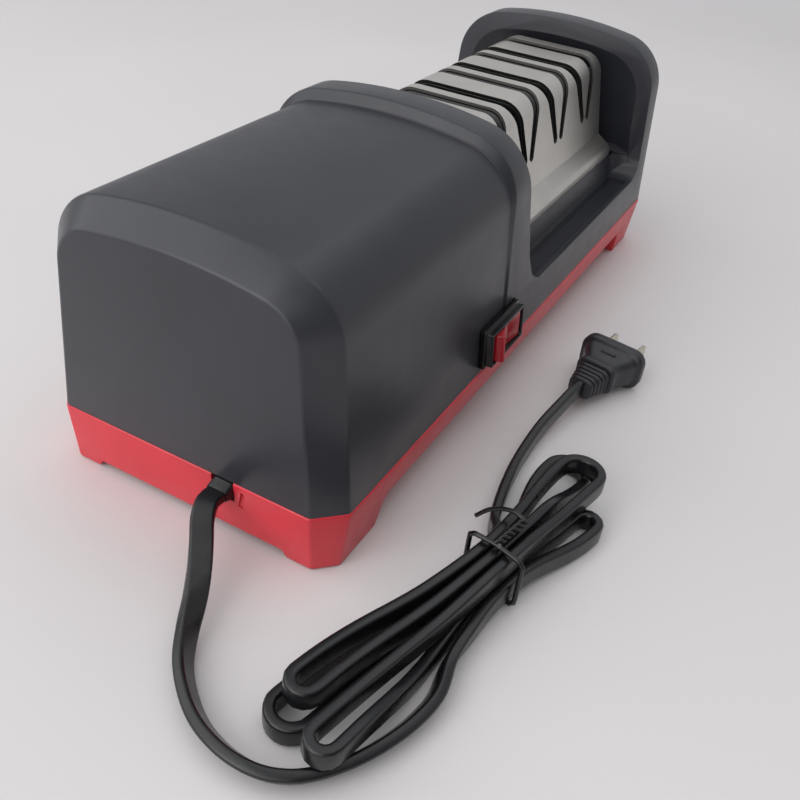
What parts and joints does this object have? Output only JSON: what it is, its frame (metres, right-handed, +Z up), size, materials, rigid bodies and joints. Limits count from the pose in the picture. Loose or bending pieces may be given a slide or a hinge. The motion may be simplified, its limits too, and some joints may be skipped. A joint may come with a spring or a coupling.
{
  "type": "electric knife sharpener",
  "caption": "Bench electric knife sharpener with a black housing, red base, slotted steel cover, rocker switch and a tied flat cord with a two-blade plug",
  "frame": {"origin": "middle of the body's footprint on the table, with the cord, its relief and the plug left out", "axes": "+X from the cord end to the far end, +Y to the side away from the switch, +Z up"},
  "size_m": [0.3672, 0.1722, 0.1038],
  "materials": {
    "black_plastic": "satin moulded plastic with a fine even grain",
    "red_plastic": "satin red moulded plastic",
    "foot_rubber": "matt rubber",
    "steel_sheet": "brushed stainless sheet",
    "guide_plastic": "matt black moulded plastic",
    "lamination_steel": "stacked punched sheets",
    "copper_wire": "enamelled copper winding",
    "cast_aluminium": "plain cast aluminium",
    "ground_steel": "ground steel bar",
    "bronze": "sintered bronze and brass",
    "pale_plastic": "natural moulded nylon",
    "coupling_rubber": "moulded rubber",
    "spring_steel": "dark spring steel",
    "switch_plastic": "glossy black moulded plastic",
    "switch_red": "translucent looking red plastic",
    "cord_rubber": "soft black cord jacket",
    "plug_plastic": "soft black moulded plug",
    "blade_metal": "plated brass blades",
    "wire_dark": "wire insulation",
    "wire_red": "wire insulation",
    "wire_pale": "wire insulation",
    "grit_coarse": "coarse abrasive grit",
    "grit_fine": "fine abrasive grit",
    "grit_polish": "polishing compound",
    "screw_steel": "zinc plated steel"
  },
  "bodies": {
    "body": {"upper_housing": "black_plastic", "base_tray": "red_plastic", "rubber_feet": "foot_rubber", "slotted_cover": "steel_sheet", "knife_guide_1": "guide_plastic", "knife_guide_2": "guide_plastic", "knife_guide_3": "guide_plastic", "knife_guide_4": "guide_plastic", "motor_stator": "lamination_steel", "motor_coil": "copper_wire", "motor_bracket_rear": "cast_aluminium", "motor_bracket_front": "cast_aluminium", "motor_bush_rear": "bronze", "motor_bush_front": "bronze", "bearing_block_near": "black_plastic", "bearing_block_far": "black_plastic", "shaft_bush_near": "bronze", "shaft_bush_far": "bronze", "switch_body": "switch_plastic", "switch_terminals": "bronze", "strain_relief": "cord_rubber", "cord_clamp": "pale_plastic", "wire_live": "wire_dark", "wire_switched": "wire_red", "wire_neutral": "wire_pale", "base_screws": "screw_steel", "motor_screws": "screw_steel", "block_screws": "screw_steel", "clamp_screws": "screw_steel", "guide_screws": "screw_steel", "cord_lead": "cord_rubber", "cord_hank": "cord_rubber", "cord_tail": "cord_rubber", "plug_body": "plug_plastic", "plug_blades": "blade_metal", "twist_tie": "cord_rubber"},
    "spindle": {"motor_rotor": "cast_aluminium", "motor_shaft": "ground_steel", "cooling_fan": "pale_plastic", "shaft_coupling": "coupling_rubber", "disc_shaft": "ground_steel", "shaft_clips": "spring_steel", "disc_hub_1": "pale_plastic", "disc_hub_2": "pale_plastic", "disc_hub_3": "pale_plastic", "disc_hub_4": "pale_plastic", "disc_1_left": "grit_coarse", "disc_1_right": "grit_coarse", "disc_2_left": "grit_coarse", "disc_2_right": "grit_coarse", "disc_3_left": "grit_fine", "disc_3_right": "grit_fine", "disc_4_left": "grit_polish", "disc_4_right": "grit_polish"},
    "rocker": {"switch_rocker": "switch_red"}
  },
  "joints": [
    {"name": "spindle_turn", "type": "hinge", "parent": "body", "child": "spindle", "pos_m": [-0.022, 0.00342, 0.05], "axis": [1, 0, 0], "continuous": true},
    {"name": "switch_rock", "type": "hinge", "parent": "body", "child": "rocker", "pos_m": [-0.041, -0.05019, 0.03296], "axis": [0, 0.0982, 0.9952], "range_deg": [-18, 0]}
  ]
}
